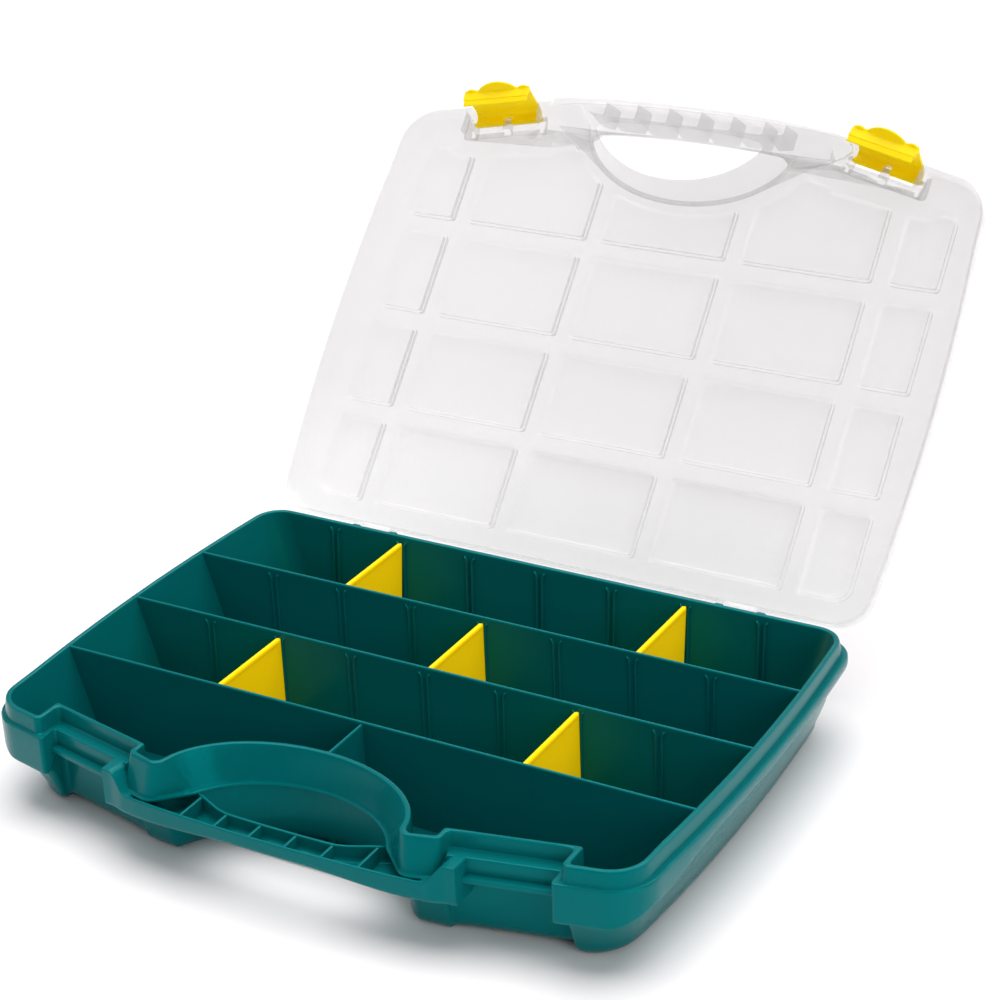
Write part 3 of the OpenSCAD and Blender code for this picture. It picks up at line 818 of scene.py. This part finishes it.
def panel_outlines():
    """The twenty raised panels: (outline, corner radii), counter-clockwise."""
    g = 4.5
    cols = [(-164, -130.1 - g), (-130.1 + g, -43.4 - g), (-43.4 + g, 43.4 - g), (43.4 + g, 130.1 - g), (130.1 + g, 164)]
    rows = [(58.6 + g, 112.2), (0 + g, 58.6 - g), (-59.3 + g, 0 - g)]
    out = []
    for i, (x0, x1) in enumerate(cols):
        for j, (y0, y1) in enumerate(rows):
            rr = [2.6, 2.6, 2.6, 2.6]
            if j == 0 and i == 0:
                rr[3] = 9.0
            if j == 0 and i == 4:
                rr[2] = 9.0
            out.append(([(x0, y0), (x1, y0), (x1, y1), (x0, y1)], rr))
    A, B, C = 73.5, 47.2, -135.5
    ya = lambda x: C + B * math.sqrt(1 - (x / A) ** 2)
    yt = -59.3 - g
    x1 = 43.4 - g
    arc = [(x, ya(x)) for x in (-30, -22, -14, -7, 0, 7, 14, 22, 30)]
    out.append(([(-x1, ya(x1))] + arc + [(x1, ya(x1)), (x1, yt), (-x1, yt)], [2.2] + [0] * 9 + [2.2, 2.6, 2.6]))
    x0, x2 = 43.4 + g, 130.1 - g
    right = [(x0, yt), (x0, ya(x0))] + [(x, ya(x)) for x in (52.5, 57, 61, 64.5, 67.5)] + [(71.3, -120.3), (80.5, -117.6), (86.5, -116.9), (88.5, -113.6), (x2, -108.2), (x2, yt)]
    rad = [2.6, 2.2] + [0] * 5 + [3.0, 0, 2.0, 2.0, 2.6, 2.6]
    out.append((right, rad))
    out.append(([(-x, y) for x, y in reversed(right)], list(reversed(rad))))
    x3 = 130.1 + g
    outer = [(x3, yt), (x3, -106.6), (147.0, -104.8), (151.5, -108.8), (164, -108.8), (164, yt)]
    rad = [2.6, 2.6, 2.5, 3.0, 9.5, 2.6]
    out.append((outer, rad))
    out.append(([(-x, y) for x, y in reversed(outer)], list(reversed(rad))))
    return out


def build_lid():
    rings = []
    for z, d in ((ZK, 0.45), (ZK + 0.15, 0.15), (ZK + 0.5, 0.0), (ZK + 4, 0.0), (ZR + 0.3, 0.2), (ZR + 1.3, 0.65), (ZR + 2.0, 1.4), (ZR + 2.35, 2.4), (ZS, 3.4)):
        o = lid_outline(z, 0.5)
        q = inset_poly(o, d) if d else o
        rings.append([(x, y, z) for x, y in q])
    lid = loft("lid_shell", rings, grid=13)

    add, cut = [], []
    for pts, rr in panel_outlines():
        add.append(pad("p", pts, rr, [(ZU + 0.6, -0.9), (ZS - 0.15, -0.9), (ZS + 0.12, -0.62), (ZS + 0.45, -0.28), (ZS + 0.95, -0.05), (ZT - 1.3, 0.35), (ZT - 0.75, 0.5), (ZT - 0.3, 0.85), (ZT - 0.06, 1.35), (ZT, 2.0)]))
        cut.append(pad("q", pts, rr, [(ZU - 1.2, 0.75), (ZU, 0.8), (ZU + 0.35, 1.15), (ZU + 1.0, 1.4), (ZT - 2.9, 1.75), (ZT - 2.2, 1.95), (ZT - 1.75, 2.5), (ZT - 1.6, 3.1)]))
    # handle half: lower block with the cove wall, and its raised top
    half = [(0, -91.5), (24, -92.6), (42, -98), (54, -107.5), (62, -119), (72, -133.5), (90.4, -136.5)]
    front = [93, 91, 89, 87, 85, 82, 79, 72, 62, 52, 41, 30, 20, 10]
    rings = []
    for z, d in ((ZH + 0.4, 0.6), (ZH + 0.55, 0.2), (ZH + 1.0, 0.0), (44.0, 0.0), (50.0, 0.0), (ZS - 0.6, 0.0)):
        r = list(half) + [(x, lid_front(x, z) + (0.0 if d == 0 else d)) for x in front] + [(0, lid_front(0, z) + (0.0 if d == 0 else d))]
        r = r + [(-x, y) for x, y in reversed(r[1:-1])]
        rings.append([(x, y, z) for x, y in r])
    add.append(loft("h1", rings, grid=9))
    top = [(0, -130.6), (14, -130.4), (30, -129.8), (44, -128.8), (52, -127.2), (58, -124.2), (64, -123.6), (72, -125.0), (82, -128.6), (90.4, -133.5), (94.2, -138.0)]
    rings = []
    for z, d in ((ZU + 0.5, 0.0), (ZS, 0.0), (ZT - 3.6, 0.1), (ZT - 2.4, 0.5), (ZT - 1.6, 1.1), (ZT - 1.1, 1.9), (ZT - 0.9, 3.0)):
        r = list(top) + [(x, lid_front(x, ZS)) for x in front] + [(0, lid_front(0, ZS))]
        r = r + [(-x, y) for x, y in reversed(r[1:-1])]
        q = inset_poly(r, d) if d else r
        rings.append([(x, y, z) for x, y in q])
    add.append(loft("h2", rings, grid=9))
    apply_bool(lid, add, "UNION")

    # room for the tray rim
    lv = [(36.3, 0, 34.0), (36.3, 0, 36.3), (38.0, 0, None), (42.0, 0, None), (46.0, 0, None), (50.0, 0, None), (53.0, 0, None), (53.9, 0, None), (54.35, 0.35, None), (54.6, 0.9, None), (ZU, 1.7, None)]
    cut.append(loft("room", [cavity_ring(z, d, zz) for z, d, zz in lv], grid=11))
    # finger opening, its upper edge rounded over
    cut.append(loft("lens", [lens_ring(36.3, 0, 30.0), lens_ring(36.3, 0.5), lens_ring(36.75, 0.1, 36.75), lens_ring(38.0), lens_ring(44.4), lens_ring(51.4), lens_ring(53.0, 0, 54.2),
                             lens_ring(53.0, 0.35, 55.3), lens_ring(53.0, 1.0, 56.05), lens_ring(53.0, 2.2, 56.6), lens_ring(53.0, 2.3, 66.0)]))
    # seven cells of the handle
    for k in range(-3, 4):
        xa, xb = k * 19.6 - 9.05, k * 19.6 + 9.05
        if k == 3:
            xb = 60.5
        if k == -3:
            xa = -60.5
        rings = []
        for z, d in ((30.0, 0.0), (ZH + 0.4, 0.0), (ZH + 1.0, 0.12), (48.0, 0.35), (ZT - 4.2, 0.7), (ZT - 3.3, 0.95), (ZT - 2.8, 1.5), (ZT - 2.6, 2.3)):
            zf = max(z, ZH + 0.4)
            fa, fb = lid_front(xa, zf) + 1.7, lid_front(xb, zf) + 1.7
            ba, bb = (-132.0 if abs(xa) < 50 else -133.6), (-132.0 if abs(xb) < 50 else -133.6)
            q = inset_poly([(xa, fa), (xb, fb), (xb, bb), (xa, ba)], d)
            rings.append(round_closed(q, [1.3] * 4, z, 3))
        cut.append(loft("cell", rings))
    # ramp under each root of the handle
    ramp = [(79.5, 28.0), (80.8, ZH + 0.42)] + [(x, ZH + 0.45 + (ZL - ZH) * smooth((x - 81.5) / 10.5)) for x in (82, 83.5, 85, 86.5, 88, 89.5, 91)] + [(92.2, ZK), (99, ZK), (99, 28.0)]
    for s in (-1, 1):
        p = [(s * a, b) for a, b in ramp]
        cut.append(prism("ramp", p, "y", -158, -116))
    # latch pockets
    rec = Matrix.Translation((XR * 0.001, YR * 0.001, 0)) @ Matrix.Rotation(SL, 4, "Z")
    lx = -0.9
    for s in (-1, 1):
        o = rounded_box("pk", (lx - 21.2, -34, 30), (lx + 21.2, -1.8, 75), 0.9, 3)
        transform(o, rec)
        if s < 0:
            q = mirror_copy(o, "pk")
            bpy.data.objects.remove(o)
            o = q
        cut.append(o)
    apply_bool(lid, cut, "DIFFERENCE")

    # lugs that carry the latch pins, and the hinge knuckles
    add, cut = [], []
    for s in (-1, 1):
        grp = []
        cheek = [(0.4, 51.4), (0.4, 58.6), (-0.8, 59.9), (-8.4, 59.9), (-10.2, 59.0), (-11.6, 57.0), (-11.6, 53.4), (-10.6, 52.0), (-8.2, 51.0), (-2.0, 50.6)]
        mid = [(0.4, 51.4), (0.4, 56.4), (-0.6, 57.8), (-7.6, 57.9), (-9.4, 57.2), (-10.55, 55.7), (-10.5, 54.2), (-9.4, 52.9), (-7.8, 52.1), (-2.0, 51.2)]
        for x0, x1, pr in ((lx - 22.9, lx - 20.75, cheek), (lx + 20.75, lx + 22.9, cheek), (lx - 2.0, lx + 2.0, mid)):
            grp.append(prism("lug", pr, "x", x0, x1, 0.3, 2))
        for o in grp:
            transform(o, rec)
            if s < 0:
                q = mirror_copy(o, "lug")
                bpy.data.objects.remove(o)
                o = q
            add.append(o)
        c = prism("lb", [(-8 + 1.36 * math.cos(math.radians(18 * k)), ZR + 1 + 1.36 * math.sin(math.radians(18 * k))) for k in range(20)], "x", lx - 24, lx + 24)
        transform(c, rec)
        if s < 0:
            q = mirror_copy(c, "lb")
            bpy.data.objects.remove(c)
            c = q
        cut.append(c)
    apply_bool(lid, add, "UNION")
    apply_bool(lid, cut, "DIFFERENCE")
    add = []
    for xc in (-112, 112):
        pr = [(125.0, 47.0), (125.0, 55.2), (126.4, 55.3), (127.6, 54.4)]
        for k in range(13):
            t = math.radians(lerp(58, -160, k / 12.0))
            pr.append((HY + 3.2 * math.cos(t), HZ + 3.2 * math.sin(t)))
        add.append(prism("kn", pr, "x", xc - 9, xc + 9, 0.3, 2))
    apply_bool(lid, add, "UNION")
    add = [prism("pn", [(HY + 1.7 * math.cos(math.radians(15 * k)), HZ + 1.7 * math.sin(math.radians(15 * k))) for k in range(24)], "x", xc - 14, xc + 14) for xc in (-112, 112)]
    apply_bool(lid, add, "UNION")
    lid.name = "lid_moulding"
    lid.data.name = "lid_moulding"
    return lid


LID_OPEN = Matrix.Translation((0, HY * 0.001, HZ * 0.001)) @ Matrix.Rotation(OPEN, 4, "X") @ Matrix.Translation((0, -HY * 0.001, -HZ * 0.001))


# ---------------------------------------------------------------- materials
def base_material(name, color, rough, bump=0.0, bump_scale=900.0, spec=0.5, coat=0.0, var=0.06, sss=0.0, tint=(1, 1, 1), painted_glow=0.0):
    m = bpy.data.materials.new(name)
    m.use_nodes = True
    nt = m.node_tree
    p = nt.nodes["Principled BSDF"]
    p.inputs["IOR"].default_value = 1.49
    p.inputs["Specular IOR Level"].default_value = spec
    p.inputs["Specular Tint"].default_value = (*tint, 1)
    p.inputs["Coat Weight"].default_value = coat
    p.inputs["Coat Roughness"].default_value = 0.12
    if sss:
        p.inputs["Subsurface Weight"].default_value = sss
        p.inputs["Subsurface Radius"].default_value = (0.005, 0.0035, 0.0006)
        p.inputs["Subsurface Scale"].default_value = 1.0
    tc = nt.nodes.new("ShaderNodeTexCoord")
    big = nt.nodes.new("ShaderNodeTexNoise")
    big.inputs["Scale"].default_value = 9.0
    big.inputs["Detail"].default_value = 3.0
    nt.links.new(tc.outputs["Object"], big.inputs["Vector"])
    ramp = nt.nodes.new("ShaderNodeMix")
    ramp.data_type = "RGBA"
    c0 = [c * (1 - var) for c in color]
    c1 = [min(1, c * (1 + var) + 0.002) for c in color]
    ramp.inputs["A"].default_value = (*c0, 1)
    ramp.inputs["B"].default_value = (*c1, 1)
    nt.links.new(big.outputs["Fac"], ramp.inputs["Factor"])
    nt.links.new(ramp.outputs["Result"], p.inputs["Base Color"])
    if painted_glow:   # painted light: the base colour is also emitted, so the yellow plastic glows faintly and looks lit where the lamps leave it dark
        nt.links.new(ramp.outputs["Result"], p.inputs["Emission Color"])
        p.inputs["Emission Strength"].default_value = painted_glow
    fine = nt.nodes.new("ShaderNodeTexNoise")
    fine.inputs["Scale"].default_value = bump_scale
    fine.inputs["Detail"].default_value = 4.0
    nt.links.new(tc.outputs["Object"], fine.inputs["Vector"])
    rr = nt.nodes.new("ShaderNodeMapRange")
    rr.inputs["From Min"].default_value = 0.3
    rr.inputs["From Max"].default_value = 0.7
    rr.inputs["To Min"].default_value = rough * 0.85
    rr.inputs["To Max"].default_value = rough * 1.18
    nt.links.new(big.outputs["Fac"], rr.inputs["Value"])
    nt.links.new(rr.outputs["Result"], p.inputs["Roughness"])
    if bump:
        b = nt.nodes.new("ShaderNodeBump")
        b.inputs["Strength"].default_value = bump
        b.inputs["Distance"].default_value = 0.0002
        nt.links.new(fine.outputs["Fac"], b.inputs["Height"])
        nt.links.new(b.outputs["Normal"], p.inputs["Normal"])
    return m


mat_tray = base_material("tray_pp", (0.0, 0.136, 0.143), 0.22, bump=0.05, bump_scale=1400.0, spec=0.26, coat=0.0, var=0.06, tint=(0.0, 0.9, 0.9))
# painted_glow: the yellow dividers and the latches glow faintly by emission, painted light rather than lamp light
mat_yellow = base_material("divider_pp", (0.98, 0.61, 0.0), 0.40, bump=0.06, bump_scale=1200.0, spec=0.22, coat=0.0, var=0.02, sss=0.25, tint=(1, 0.85, 0.3), painted_glow=0.32)
mat_latch = base_material("latch_pp", (0.91, 0.67, 0.0), 0.30, bump=0.05, bump_scale=1200.0, spec=0.3, coat=0.0, var=0.03, sss=0.25, tint=(1, 0.85, 0.3), painted_glow=0.12)


def clear_material(name):
    """Clear moulded sheet: nearly see-through face on and denser where it turns edge on, with a painted highlight at
    its edges, a faint painted glow, painted shade from side to side and a painted lift near the hinge.
    """
    m = bpy.data.materials.new(name)
    m.use_nodes = True
    nt = m.node_tree
    p = nt.nodes["Principled BSDF"]
    p.inputs["IOR"].default_value = 1.49
    p.inputs["Specular IOR Level"].default_value = 0.6
    p.inputs["Emission Color"].default_value = (1.0, 1.0, 0.99, 1)   # painted light: the sheet glows faintly white by emission
    p.inputs["Emission Strength"].default_value = 0.12
    tc = nt.nodes.new("ShaderNodeTexCoord")
    big = nt.nodes.new("ShaderNodeTexNoise")
    big.inputs["Scale"].default_value = 4.0
    big.inputs["Detail"].default_value = 2.0
    nt.links.new(tc.outputs["Object"], big.inputs["Vector"])
    lw = nt.nodes.new("ShaderNodeLayerWeight")
    lw.inputs["Blend"].default_value = 0.35
    edge = nt.nodes.new("ShaderNodeMapRange")
    edge.interpolation_type = "SMOOTHSTEP"
    edge.inputs["From Min"].default_value = 0.25
    edge.inputs["From Max"].default_value = 0.95
    edge.inputs["To Min"].default_value = 0.0
    edge.inputs["To Max"].default_value = 1.0
    nt.links.new(lw.outputs["Facing"], edge.inputs["Value"])
    flat = nt.nodes.new("ShaderNodeMix")
    flat.data_type = "RGBA"
    flat.inputs["A"].default_value = (0.21, 0.21, 0.215, 1)
    flat.inputs["B"].default_value = (0.43, 0.43, 0.42, 1)
    nt.links.new(big.outputs["Fac"], flat.inputs["Factor"])
    # painted highlight: where the sheet turns edge on, its base colour goes to near white
    painted_edge_highlight = nt.nodes.new("ShaderNodeMix")
    painted_edge_highlight.data_type = "RGBA"
    painted_edge_highlight.inputs["B"].default_value = (0.90, 0.90, 0.90, 1)
    nt.links.new(edge.outputs["Result"], painted_edge_highlight.inputs["Factor"])
    painted_lift_mask = nt.nodes.new("ShaderNodeMapRange")   # painted light: the sheet's foot, beside the hinge, is lighter, lifting the shaded floor seen through it
    painted_lift_mask.interpolation_type = "SMOOTHSTEP"
    painted_lift_mask.inputs["From Min"].default_value = 0.12
    painted_lift_mask.inputs["From Max"].default_value = 0.05
    sx_ = nt.nodes.new("ShaderNodeSeparateXYZ")
    nt.links.new(tc.outputs["Object"], sx_.inputs["Vector"])
    nt.links.new(sx_.outputs["Z"], painted_lift_mask.inputs["Value"])
    foot = nt.nodes.new("ShaderNodeMix")
    foot.data_type = "RGBA"
    foot.inputs["B"].default_value = (0.64, 0.64, 0.635, 1)
    nt.links.new(painted_lift_mask.outputs["Result"], foot.inputs["Factor"])
    nt.links.new(flat.outputs["Result"], foot.inputs["A"])
    nt.links.new(foot.outputs["Result"], painted_edge_highlight.inputs["A"])
    nt.links.new(painted_edge_highlight.outputs["Result"], p.inputs["Base Color"])
    al = nt.nodes.new("ShaderNodeMapRange")
    al.inputs["To Max"].default_value = 0.33
    # painted shade: the sheet grows denser, and so darker, from its left side to its right
    painted_side_shade = nt.nodes.new("ShaderNodeMapRange")
    painted_side_shade.interpolation_type = "SMOOTHSTEP"
    painted_side_shade.inputs["From Min"].default_value = -0.15
    painted_side_shade.inputs["From Max"].default_value = 0.10
    painted_side_shade.inputs["To Min"].default_value = 0.215
    painted_side_shade.inputs["To Max"].default_value = 0.265
    nt.links.new(sx_.outputs["X"], painted_side_shade.inputs["Value"])
    # random mottle in the sheet's density, added to the painted side shade
    mottle_and_side_shade = nt.nodes.new("ShaderNodeMath")
    mottle_and_side_shade.operation = "MULTIPLY_ADD"
    mottle_and_side_shade.inputs[1].default_value = 0.08
    nt.links.new(big.outputs["Fac"], mottle_and_side_shade.inputs[0])
    nt.links.new(painted_side_shade.outputs["Result"], mottle_and_side_shade.inputs[2])
    # the foot beside the hinge also gets a little denser, part of the painted light lift there
    alpha_mottle_and_painted_light = nt.nodes.new("ShaderNodeMath")
    alpha_mottle_and_painted_light.operation = "MULTIPLY_ADD"
    alpha_mottle_and_painted_light.inputs[1].default_value = 0.04
    nt.links.new(painted_lift_mask.outputs["Result"], alpha_mottle_and_painted_light.inputs[0])
    nt.links.new(mottle_and_side_shade.outputs["Value"], alpha_mottle_and_painted_light.inputs[2])
    nt.links.new(alpha_mottle_and_painted_light.outputs["Value"], al.inputs["To Min"])
    nt.links.new(edge.outputs["Result"], al.inputs["Value"])
    nt.links.new(al.outputs["Result"], p.inputs["Alpha"])
    fine = nt.nodes.new("ShaderNodeTexNoise")
    fine.inputs["Scale"].default_value = 55.0
    fine.inputs["Detail"].default_value = 3.0
    nt.links.new(tc.outputs["Object"], fine.inputs["Vector"])
    rr = nt.nodes.new("ShaderNodeMapRange")
    rr.inputs["From Min"].default_value = 0.3
    rr.inputs["From Max"].default_value = 0.7
    rr.inputs["To Min"].default_value = 0.10
    rr.inputs["To Max"].default_value = 0.18
    nt.links.new(fine.outputs["Fac"], rr.inputs["Value"])
    nt.links.new(rr.outputs["Result"], p.inputs["Roughness"])
    b = nt.nodes.new("ShaderNodeBump")
    b.inputs["Strength"].default_value = 0.035
    b.inputs["Distance"].default_value = 0.0006
    nt.links.new(fine.outputs["Fac"], b.inputs["Height"])
    nt.links.new(b.outputs["Normal"], p.inputs["Normal"])
    return m


mat_lid = clear_material("lid_clear_pp")


def dress(ob, mat, slot, body, *nodes):
    ob.data.materials.clear()
    ob.data.materials.append(mat)
    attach(ob, body)
    if nodes:
        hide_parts(*nodes)
    return ob


tray = build_tray()
dress(tray, mat_tray, "tray", "tray", "tray")

R1, R2, R3 = (59.65, 119.6), (0.95, 57.75), (-58.15, -0.95)
for nm, x, (ya, yb2) in (("divider_back_left", -86.74, R1), ("divider_back_right", 86.74, R1), ("divider_middle", 0.0, R2),
                         ("divider_front_left", -86.74, R3), ("divider_front_right", 86.74, R3)):
    d = build_divider(nm + "_plate", x, ya, yb2)
    dress(d, mat_yellow, "divider", nm, nm)

lid = build_lid()
transform(lid, LID_OPEN)
finish_mesh(lid, 30)
dress(lid, mat_lid, "lid", "lid", "lid")

latch_r = build_latch("latch_right_moulding")
transform(latch_r, Matrix.Translation((XR * 0.001, YR * 0.001, 0)) @ Matrix.Rotation(SL, 4, "Z")
          @ Matrix.Translation((-0.0009, -0.008, (ZR + 1) * 0.001)) @ Matrix.Rotation(math.radians(-10), 4, "X"))
latch_l = mirror_copy(latch_r, "latch_left_moulding")
for ob, nd in ((latch_r, "latch_right"), (latch_l, "latch_left")):
    transform(ob, LID_OPEN)
    finish_mesh(ob, 35)
    dress(ob, mat_latch, "latch", nd, nd)

# ---------------------------------------------------------------- floor, light, camera
def floor():
    bpy.ops.mesh.primitive_plane_add(size=12, location=(0, 0, -0.0006))
    o = bpy.context.object
    o.name = "floor"
    m = bpy.data.materials.new("floor_white")
    m.use_nodes = True
    p = m.node_tree.nodes["Principled BSDF"]
    p.inputs["Base Color"].default_value = (0.94, 0.912, 0.924, 1)
    p.inputs["Roughness"].default_value = 0.9
    p.inputs["Specular IOR Level"].default_value = 0.1
    o.data.materials.append(m)
    return o


floor()

world = bpy.data.worlds.new("studio")
scene.world = world
world.use_nodes = True
wt = world.node_tree
bg = wt.nodes["Background"]
bg.inputs["Strength"].default_value = 1.0
wc = wt.nodes.new("ShaderNodeTexCoord")
ws = wt.nodes.new("ShaderNodeSeparateXYZ")
wt.links.new(wc.outputs["Generated"], ws.inputs["Vector"])
wr = wt.nodes.new("ShaderNodeMapRange")
wr.interpolation_type = "SMOOTHSTEP"
wr.inputs["From Min"].default_value = 0.0
wr.inputs["From Max"].default_value = 0.9
wr.inputs["To Min"].default_value = 0.10
wr.inputs["To Max"].default_value = 0.38
wt.links.new(ws.outputs["Z"], wr.inputs["Value"])
wt.links.new(wr.outputs["Result"], bg.inputs["Color"])


def area(name, loc, target, size, energy, color=(1, 1, 1), shape="RECTANGLE", size_y=None):
    L = bpy.data.lights.new(name, "AREA")
    L.shape = shape
    L.size = size
    L.size_y = size_y or size
    L.energy = energy
    L.color = color
    o = bpy.data.objects.new(name, L)
    o.location = loc
    d = Vector(target) - Vector(loc)
    o.rotation_euler = d.to_track_quat("-Z", "Y").to_euler()
    scene.collection.objects.link(o)
    return o


area("softbox", (-1.67, -0.31, 2.05), (0, 0.3, 0.15), 2.6, 10)
area("right_fill", (2.3, -1.2, 1.3), (0, 0.1, 0.02), 1.6, 22)
sun = bpy.data.lights.new("overhead", "SUN")
sun.energy = 2.9
sun.angle = math.radians(62)
sun_ob = bpy.data.objects.new("overhead", sun)
sun_ob.rotation_euler = Vector((0.03, -0.30, -1)).to_track_quat("-Z", "Y").to_euler()
scene.collection.objects.link(sun_ob)

# camera
AZ, EL, ROLL = math.radians(30.28), math.radians(25.43), math.radians(-2.36)
DIST = 1.4221
T = Vector((-0.06034, 0.18442, ZR * 0.001))
back = Vector((math.sin(AZ) * math.cos(EL), -math.cos(AZ) * math.cos(EL), math.sin(EL)))
fwd = -back
right = fwd.cross(Vector((0, 0, 1))).normalized()
up = right.cross(fwd)
r2 = right * math.cos(ROLL) + up * math.sin(ROLL)
u2 = -right * math.sin(ROLL) + up * math.cos(ROLL)
rot = Matrix((r2, u2, back)).transposed()
cam = bpy.data.cameras.new("camera")
cam.sensor_width = 36.0
cam.lens = 2505.96 / 1000.0 * 36.0
cam.clip_start = 0.05
cam.clip_end = 30
co = bpy.data.objects.new("camera", cam)
co.matrix_world = Matrix.Translation(T + back * DIST) @ rot.to_4x4()
scene.collection.objects.link(co)
scene.camera = co
scene.view_settings.view_transform = "Standard"
